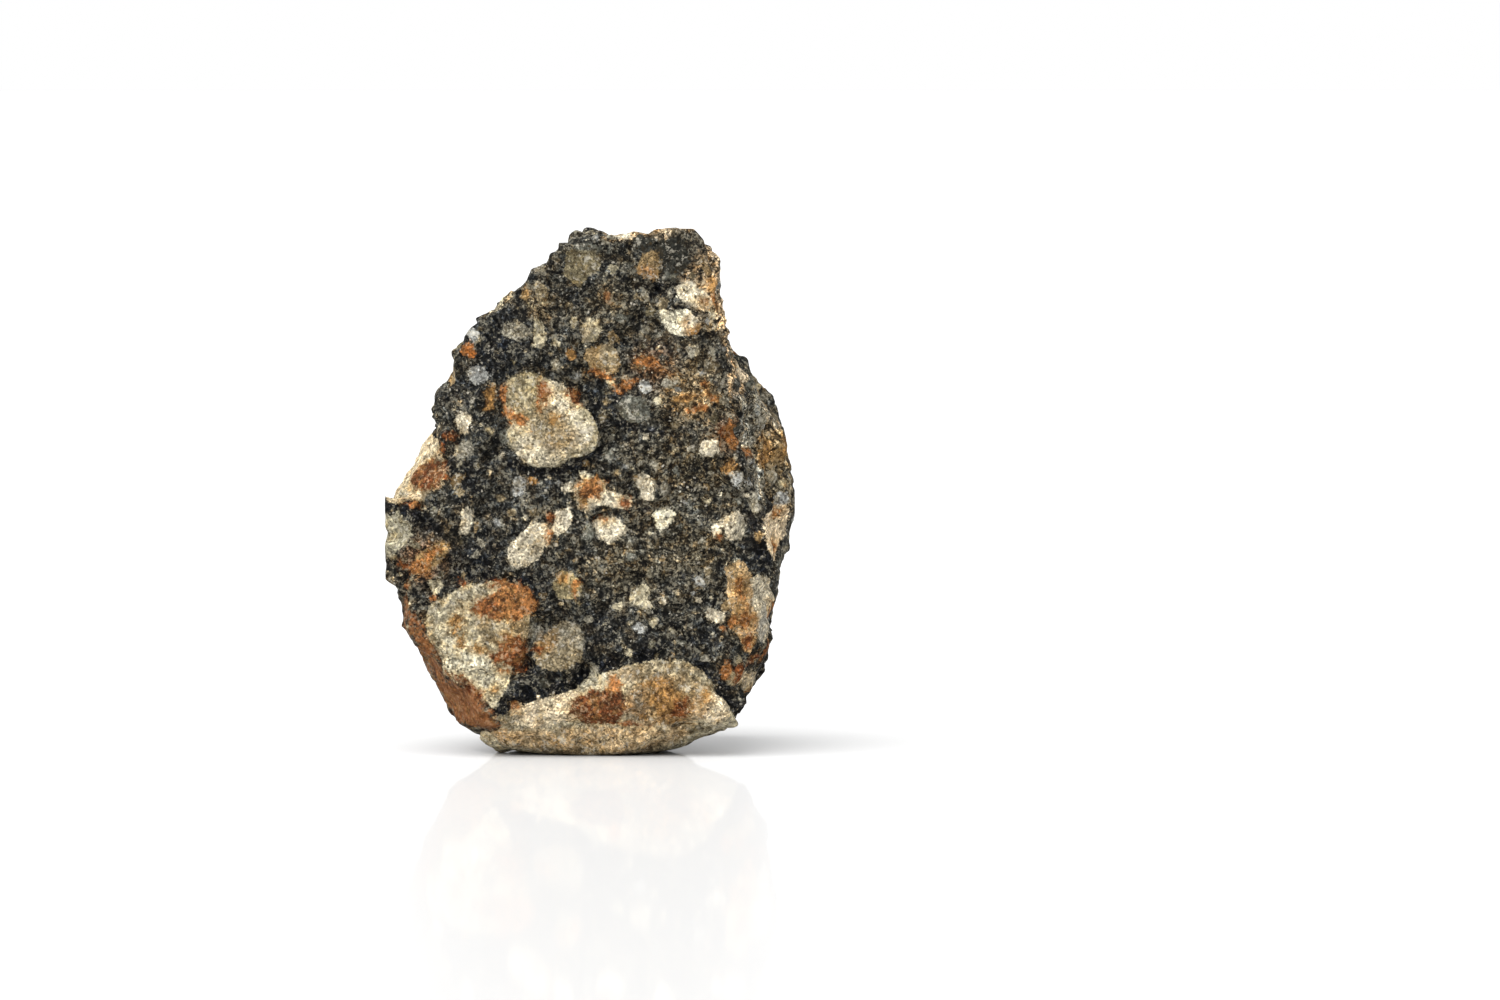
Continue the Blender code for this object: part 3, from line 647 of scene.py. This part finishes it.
def placeHidden(marks):
    chance = np.random.default_rng(hiddenClasts["seed"])
    hidden = np.flatnonzero((marks["normals"][:, 1] > 0.0) & (marks["points"][:, 2] > 0.05))
    for kind in ("large", "middle", "small"):
        rule = {**hiddenClasts, **hiddenClasts[kind]}
        placed = []
        for step in range(rule["count"] * 4):
            place, size, stretch, turn, tone, vary = drawGrain(chance, hidden, rule)
            middle = marks["points"][place]
            crowded = any(np.linalg.norm(middle - other) < rule["spacing"] for other in placed)
            if crowded or marks["clastEdge"][place] > -0.08 - size * 0.3 or len(placed) >= rule["count"]:
                continue
            placed.append(middle)
            edge = fragmentEdge(marks["warped"], middle, size * stretch, size, turn,
                                marks["normals"][place], seed=step)
            lay(marks, "clast", edge, tone, vary)
    rule = hiddenClasts["stains"]
    hidden = np.flatnonzero((marks["normals"][:, 1] > 0.3) & (marks["points"][:, 2] > 0.05))
    for step in range(rule["count"]):
        place = hidden[chance.integers(len(hidden))]
        size = rule["size"][0] + (rule["size"][1] - rule["size"][0]) * chance.random() ** 2
        tone = rule["tones"][chance.integers(len(rule["tones"]))]
        turn = chance.random() * 180
        edge = fragmentEdge(marks["warped"], marks["points"][place], size * 1.5, size, turn,
                            marks["normals"][place], seed=step)
        lay(marks, "stain", edge, tone)


def writeMarks(mesh, marks):
    for name in ("clastEdge", "stainEdge", "calm"):
        layer = mesh.attributes.new(name, "FLOAT", "POINT")
        layer.data.foreach_set("value", marks[name].astype(np.float32))
    for name in ("clastTone", "stainTone", "groundTone"):
        layer = mesh.attributes.new(name, "FLOAT_COLOR", "POINT")
        colours = np.ones((len(mesh.vertices), 4), np.float32)
        colours[:, :3] = marks[name]
        layer.data.foreach_set("color", colours.ravel())


# Relief of the broken surface, in millimetres.
relief = {
    "seed": 3,
    "facets": {"count": 1978, "tilt": 0.19, "step": 0.05, "blend": 0.07},
    "slivers": {"count": 27052, "tilt": 0.22, "step": 0.025, "blend": 0.035},
    "jitter": {"wave": 0.35, "reach": 0.14},   # keeps the facets' edges from running straight
    "lumps": {"wave": 0.55, "height": 0.06},
    "grit": {"wave": 0.22, "height": 0.045},
    "clastRise": 0.03,
    "clastCalm": 0.6,   # how much of the grit a clast loses
    "backCalm": 0.35,   # how much of its roughness the stone loses behind the front face
    "seamDepth": 0.05,
    "boxMargin": 0.05,  # how far the relief draws back where the solid fills its box
    "pits": {"count": 460, "radius": (0.06, 0.18), "depth": 0.7},
}


def facetField(points, rule, chance):
    # each cell of the surface breaks along a plane of its own
    low, high = (np.array(corner) / mm for corner in cadBox)
    count = rule["count"]
    seeds = low + chance.random((count, 3)) * (high - low)
    tilts = chance.normal(size=(count, 3)) * rule["tilt"]
    steps = chance.normal(size=count) * rule["step"]
    tree = kdtree.KDTree(count)
    for index, seed in enumerate(seeds):
        tree.insert(Vector(seed), index)
    tree.balance()
    found = [tree.find_n(Vector(point), 3) for point in points]
    cells = np.array([[hit[1] for hit in hits] for hits in found])
    gaps = np.array([[hit[2] for hit in hits] for hits in found])
    shares = np.exp(-(gaps - gaps[:, :1]) / rule["blend"])
    planes = ((points[:, None, :] - seeds[cells]) * tilts[cells]).sum(2) + steps[cells]
    return (planes * shares).sum(1) / shares.sum(1)


def hollow(height, points, middle, radius, depth):
    away = np.linalg.norm(points - middle, axis=1) / radius
    height -= np.clip(1.0 - away ** 2, 0.0, None) * radius * depth


def shapeSkin(stone, marks):
    points, normals = marks["points"], marks["normals"]
    chance = np.random.default_rng(relief["seed"])
    inClast = fade(marks["clastEdge"], -0.05, 0.05)
    inReach = marks["behind"] < drawing["lineReach"]
    calm = 1.0 - relief["clastCalm"] * inClast
    starts = ((2, 2, 2), (5, 4, 4), (7, 7, 8))
    jitter = np.stack([wave(points, relief["jitter"]["wave"], start) for start in starts], axis=1)
    warped = points + jitter * relief["jitter"]["reach"]
    height = facetField(warped, relief["facets"], chance)
    height += facetField(warped, relief["slivers"], chance) * calm
    height += wave(points, relief["lumps"]["wave"], (5.0, 3.0, 1.0)) * relief["lumps"]["height"]
    height += wave(points, relief["grit"]["wave"], (2.0, 9.0, 4.0)) * relief["grit"]["height"] * calm
    height *= (1.0 - marks["calm"]) * (1.0 - relief["backCalm"] * fade(marks["behind"], 2.0, 4.0))
    height += inClast * relief["clastRise"] + marks["rise"]
    for line, rise, reach in frontLedges:
        gap, side = lineGaps(marks, "seen", line)
        below = fade(gap * side, -0.08, 0.08) * (1.0 - fade(gap, 0.2, reach)) * (marks["behind"] < 3.0)
        height += rise * below
    for line, halfWidth in seamAndShadowLines:
        gap = lineGaps(marks, "seen", line)[0]
        height -= relief["seamDepth"] * (1.0 - fade(gap, 0.0, halfWidth * 1.3)) * inReach
    for line, depth, reach in wornEdges:
        gap = lineGaps(marks, "seen", line)[0]
        height -= depth * np.exp(-(gap / reach) ** 2) * inReach
    for x, y, radius in frontHollows:
        hollow(height, points, spotAt(marks, x, y), radius, 1.1)
    low, high = relief["pits"]["radius"]
    for step in range(relief["pits"]["count"]):
        radius = low + (high - low) * chance.random() ** 2
        hollow(height, points, points[chance.integers(len(points))], radius, relief["pits"]["depth"])
    for x, y, radius, rise in frontLumps:
        away = np.hypot(marks["seenX"] - x, marks["seenY"] - y) / (radius * pixelsPerMm)
        height += rise * np.exp(-away ** 2 - (marks["behind"] / 8.0) ** 2)
    lowest, highest = (np.array(corner) / mm for corner in cadBox)
    room = np.minimum(points - lowest, highest - points)
    room[:, 2] = highest[2] - points[:, 2]
    height -= relief["boxMargin"] * (1.0 - fade(room.min(1), 0.0, 0.6))
    moved = points + normals * (height * fade(points[:, 2], 0.01, skin["calmHeight"]))[:, None]
    moved[:, 2] += bellyLift(moved)
    writePoints(stone.data, np.clip(moved, lowest, highest))


def bellyLift(points):
    # the belly rounds up from the spot it rests on
    away = (points[:, :2] - np.array(skin["restMiddle"])) / np.array(skin["restRadii"])
    past = np.clip(np.linalg.norm(away, axis=1) - 1.0, 0.0, 1.0)
    return skin["bellyLift"] * past ** 1.5 * (1.0 - fade(points[:, 2], 0.0, skin["bellyHeight"]))


def emptyMaterial(name):
    material = bpy.data.materials.new(name)
    material.use_nodes = True
    material.node_tree.nodes.clear()
    return material, material.node_tree


def addNode(tree, kind, inputs=None, settings=None):
    made = tree.nodes.new(kind)
    place = len(tree.nodes)
    made.location = (220 * (place // 6), -260 * (place % 6))
    for name, value in (settings or {}).items():
        setattr(made, name, value)
    for name, value in (inputs or {}).items():
        socket = made.inputs[name]
        if isinstance(value, bpy.types.NodeSocket):
            tree.links.new(value, socket)
        else:
            socket.default_value = value
    return made


def treeOf(*parts):
    # the node tree of the sockets among the parts
    return next(part.id_data for part in parts if isinstance(part, bpy.types.NodeSocket))


def sums(operation, first, second):
    tree = treeOf(first, second)
    return addNode(tree, "ShaderNodeMath", {0: first, 1: second}, {"operation": operation}).outputs[0]


def times(first, second):
    return sums("MULTIPLY", first, second)


def blendTones(share, first, second, how="MIX"):
    made = addNode(treeOf(share, first, second), "ShaderNodeMix",
                   {0: share, 6: first, 7: second}, {"data_type": "RGBA", "blend_type": how})
    return made.outputs[2]


def tinted(tone, factor):
    return blendTones(1.0, tone, factor, "MULTIPLY")


def between(value, low, high, toLow=0.0, toHigh=1.0, smooth=True):
    made = addNode(value.id_data, "ShaderNodeMapRange", {0: value, 1: low, 2: high, 3: toLow, 4: toHigh},
                   {"interpolation_type": "SMOOTHSTEP" if smooth else "LINEAR"})
    return made.outputs[0]


def fineNoise(coords, length, detail, roughness):
    made = addNode(coords.id_data, "ShaderNodeTexNoise",
                   {"Vector": coords, "Scale": 1.0 / length, "Detail": detail, "Roughness": roughness})
    return made.outputs[0]


def centred(value):
    return sums("SUBTRACT", value, 0.5)


def swing(value, gain):
    # a brightness factor that doubles or halves as noise leaves its middle
    return sums("POWER", 2.0, times(centred(value), gain))


def cellsOf(coords, length):
    cells = addNode(coords.id_data, "ShaderNodeTexVoronoi", {"Vector": coords, "Scale": 1.0 / length})
    parts = addNode(coords.id_data, "ShaderNodeSeparateColor", {0: cells.outputs["Color"]})
    return cells.outputs["Distance"], parts.outputs


def attribute(tree, name, output):
    return addNode(tree, "ShaderNodeAttribute", settings={"attribute_name": name}).outputs[output]


def rgba(tone):
    return (*linear(tone), 1.0)


# Grains and finish of the stone. Lengths in millimetres.
breccia = {
    # noises: length, detail, roughness
    "cloud": (0.24, 6.0, 0.78),   # light and dark of the grains
    "hue": (0.42, 5.0, 0.72),     # warm here and cool there
    "drift": (0.95, 3.0, 0.6),    # paler and darker places
    "crowd": (0.7, 2.0, 0.5),     # where flecks gather
    "edgeNoise": (0.13, 4.0, 0.7),
    "frayNoise": (0.3, 7.0, 0.8),
    "groundSwing": 13.0,
    "grainSwing": 4.2,
    "clastSwing": 5.2,
    "grainSize": 0.066,
    "fleck": 0.17,
    "fray": 1.1,
    "ragged": 0.36,
    # flecks and holes: noise from, noise to, share at each
    "paleGate": (0.545, 0.630, 0.0, 0.82),
    "holeGate": (0.530, 0.610, 0.0, 0.9),
    "crowding": 0.22,
    "groundFleck": (196, 188, 164),
    "groundHole": (16, 16, 17),
    "clastFleck": (236, 228, 208),
    "clastHole": (62, 52, 36),
    "rustFleck": (220, 180, 140),
    "rustHole": (50, 30, 20),
    # specks: size, share of places, radius, darkest and palest tone, strength
    "groundSpecks": [(0.62, 0.24, 0.3, (84, 84, 78), (132, 122, 98), 0.6),
                     (0.3, 0.32, 0.34, (80, 76, 66), (158, 146, 118), 0.7),
                     (0.4, 0.26, 0.36, (20, 21, 24), (34, 33, 32), 0.7)],
    # the palest specks are pale grains, and partly painted glints of crystals
    "palestSpecks": (0.12, 0.1, 0.4, (112, 104, 88), (226, 218, 200), 0.8),
    "clastSpecks": (0.16, 0.22, 0.34, (30, 25, 18), (104, 86, 58), 0.8),
    # factors on red, green and blue
    "warmth": (1.36, 1.07, 0.74, 1.0),
    "coolness": (0.85, 0.98, 1.22, 1.0),
    "clastWarmth": (1.0, 0.84, 0.58, 1.0),
    "rustHalo": (1.02, 0.82, 0.54, 1.0),
    "paleLift": (2.8, 2.8, 2.8, 1.0),
    "bump": 0.085,
    "roughness": 0.8,
    "gloss": 0.45,   # roughness of the few grains that glint
    "shine": 0.04,
}


def scatter(coords, ragged, under, size, present, radius, dark, pale, strength):
    # irregular specks of one size range, each with its own tone
    gap, chance = cellsOf(coords, size)
    here = between(chance[0], 1.0 - present, 1.0 - present + 0.02)
    reach = sums("ADD", gap, times(ragged, 0.9))
    spot = between(reach, radius * 0.72, radius, 1.0, 0.0)
    tone = blendTones(chance[1], rgba(dark), rgba(pale))
    return blendTones(times(times(here, spot), strength), under, tone)


def brecciaMaterial():
    material, tree = emptyMaterial("breccia")
    place = addNode(tree, "ShaderNodeTexCoord")
    coords = addNode(tree, "ShaderNodeVectorMath", {0: place.outputs["Object"], "Scale": 1.0 / mm},
                     {"operation": "SCALE"}).outputs[0]
    shake = addNode(tree, "ShaderNodeTexNoise", {"Vector": coords, "Scale": 9.0, "Detail": 2.0})
    shaken = addNode(tree, "ShaderNodeVectorMath",
                     {0: shake.outputs["Color"], 1: (0.1, 0.1, 0.1), 2: coords},
                     {"operation": "MULTIPLY_ADD"}).outputs[0]
    ragged = centred(fineNoise(coords, *breccia["edgeNoise"]))
    cloud = fineNoise(coords, *breccia["cloud"])
    hue = fineNoise(shaken, *breccia["hue"])
    drift = fineNoise(coords, *breccia["drift"])
    moved = [addNode(tree, "ShaderNodeVectorMath", {0: coords, 1: (step, 2.0 * step, 3.0 * step)},
                     {"operation": "ADD"}).outputs[0] for step in (7.3, 11.9, 17.1)]
    grain = cellsOf(shaken, breccia["grainSize"])[1]
    groundTone = attribute(tree, "groundTone", "Color")

    # groundmass: dark grains and paler ones, brown here and blue-grey there
    light = swing(cloud, breccia["groundSwing"])
    light = times(light, swing(grain[0], breccia["grainSwing"]))
    light = times(light, swing(drift, 2.4))
    ground = groundTone
    for specks in breccia["groundSpecks"]:
        ground = scatter(shaken, ragged, ground, *specks)
    ground = tinted(ground, light)
    warm = between(hue, 0.5, 0.66, smooth=False)
    cool = between(hue, 0.5, 0.36, smooth=False)
    ground = blendTones(warm, ground, tinted(ground, breccia["warmth"]))
    ground = blendTones(cool, ground, tinted(ground, breccia["coolness"]))
    crowd = times(centred(fineNoise(moved[2], *breccia["crowd"])), breccia["crowding"])
    pale = sums("ADD", fineNoise(moved[0], breccia["fleck"], 4.0, 0.7), crowd)
    hole = sums("SUBTRACT", fineNoise(moved[1], breccia["fleck"] * 1.25, 4.0, 0.7), crowd)
    pale = between(pale, *breccia["paleGate"])
    hole = between(hole, *breccia["holeGate"])
    fleck = blendTones(0.45, tinted(groundTone, breccia["paleLift"]), rgba(breccia["groundFleck"]))
    ground = blendTones(pale, ground, fleck)
    ground = blendTones(hole, ground, rgba(breccia["groundHole"]))
    # palest specks: pale grains, partly painted glints
    ground = scatter(shaken, ragged, ground, *breccia["palestSpecks"])

    # clasts: their own tone, cloudy, with pale and dark grains in it
    soft = times(swing(cloud, breccia["clastSwing"]), swing(grain[1], 2.0))
    soft = times(soft, swing(drift, 1.3))
    clast = tinted(attribute(tree, "clastTone", "Color"), soft)
    clast = blendTones(times(warm, 0.7), clast, tinted(clast, breccia["clastWarmth"]))
    clast = blendTones(times(pale, 0.7), clast, rgba(breccia["clastFleck"]))
    clast = blendTones(times(hole, 0.6), clast, rgba(breccia["clastHole"]))
    clast = scatter(coords, ragged, clast, *breccia["clastSpecks"])
    edge = sums("ADD", attribute(tree, "clastEdge", "Fac"), times(ragged, breccia["ragged"]))
    tone = blendTones(between(edge, -0.030, 0.025), ground, clast)

    # rust stains: patchy, and broken by grains
    fray = times(centred(fineNoise(moved[2], *breccia["frayNoise"])), breccia["fray"])
    edge = sums("ADD", attribute(tree, "stainEdge", "Fac"), fray)
    halo = times(between(edge, -0.26, 0.05), 0.55)
    tone = blendTones(halo, tone, tinted(tone, breccia["rustHalo"]))
    stain = attribute(tree, "stainTone", "Color")
    stain = blendTones(times(warm, 0.6), stain, rgba(tones["ochre"]))
    loud = sums("SUBTRACT", 1.0, times(attribute(tree, "calm", "Fac"), 0.7))
    cloudy = swing(cloud, times(loud, 8.0))
    stain = tinted(stain, times(cloudy, swing(grain[2], times(loud, 2.0))))
    stain = blendTones(times(times(pale, loud), 0.8), stain, rgba(breccia["rustFleck"]))
    stain = blendTones(times(times(hole, loud), 0.8), stain, rgba(breccia["rustHole"]))
    tone = blendTones(times(between(edge, -0.04, 0.12), 0.94), tone, stain)

    rise = sums("ADD", cloud, times(grain[0], 0.35))
    rise = sums("SUBTRACT", rise, times(hole, 0.25))
    bump = addNode(tree, "ShaderNodeBump",
                   {"Strength": 0.9, "Distance": breccia["bump"] * mm, "Height": rise})
    rough = between(grain[2], 0.86, 0.95, breccia["roughness"], breccia["gloss"])
    shader = addNode(tree, "ShaderNodeBsdfPrincipled",
                     {"Base Color": tone, "Roughness": rough, "Normal": bump.outputs[0],
                      "Specular IOR Level": breccia["shine"]})
    addNode(tree, "ShaderNodeOutputMaterial", {0: shader.outputs[0]})
    return material


def makeStone():
    stone = makeSkin()
    print("the skin has", len(stone.data.vertices), "points")
    points = readVectors(stone.data.vertices, "co") / mm
    marks = startMarks(points, readVectors(stone.data.vertex_normals, "vector"))
    placeOutlined(marks)
    placeFront(marks)
    fillFront(marks)
    placeHidden(marks)
    tintFront(marks)
    print("the clasts and stains are placed")
    shapeSkin(stone, marks)
    writeMarks(stone.data, marks)
    stone.data.materials.clear()
    stone.data.materials.append(brecciaMaterial())
    stone.data.shade_smooth()
    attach(stone, "root")
    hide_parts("stone")
    print("the stone is finished")


# Floor and light of a small product studio. The sun stands for a large soft box.
studio = {
    "floorHalf": 3.0,            # metres
    "floorTone": 0.46,
    "floorShine": (0.2, 0.04),   # share and roughness of the clear reflection
    "floorHaze": (0.2, 0.26),    # and of a rougher one, which darkens the floor near the stone
    "worldStrength": 1.0,
    "sunStrength": 6.7,
    "sunAngle": 70,              # degrees, for soft shadows
    "sunFrom": (-0.3, -0.4, 0.86),
}


def makeFloor():
    plate = bmesh.new()
    bmesh.ops.create_grid(plate, x_segments=1, y_segments=1, size=studio["floorHalf"])
    mesh = bpy.data.meshes.new("floor")
    plate.to_mesh(mesh)
    plate.free()
    floor = bpy.data.objects.new("floor", mesh)
    bpy.context.scene.collection.objects.link(floor)
    material, tree = emptyMaterial("whiteFloor")
    tone, white = studio["floorTone"], (1.0, 1.0, 1.0, 1.0)
    surface = addNode(tree, "ShaderNodeBsdfDiffuse", {"Color": (tone, tone, tone, 1.0)}).outputs[0]
    for share, roughness in (studio["floorShine"], studio["floorHaze"]):
        shine = addNode(tree, "ShaderNodeBsdfGlossy", {"Color": white, "Roughness": roughness}).outputs[0]
        surface = addNode(tree, "ShaderNodeMixShader", {0: share, 1: surface, 2: shine}).outputs[0]
    addNode(tree, "ShaderNodeOutputMaterial", {0: surface})
    mesh.materials.append(material)


def makeLight():
    scene = bpy.context.scene
    scene.world = bpy.data.worlds.new("studio")
    scene.world.use_nodes = True
    background = scene.world.node_tree.nodes["Background"]
    background.inputs["Color"].default_value = (1.0, 1.0, 1.0, 1.0)
    background.inputs["Strength"].default_value = studio["worldStrength"]
    lamp = bpy.data.lights.new("softBox", "SUN")
    lamp.energy = studio["sunStrength"]
    lamp.angle = math.radians(studio["sunAngle"])
    sun = bpy.data.objects.new("softBox", lamp)
    scene.collection.objects.link(sun)
    sun.rotation_euler = Vector(studio["sunFrom"]).to_track_quat("Z", "Y").to_euler()
    scene.view_settings.view_transform = "Standard"


makeCamera()
makeStone()
makeFloor()
makeLight()
print("the studio is set")
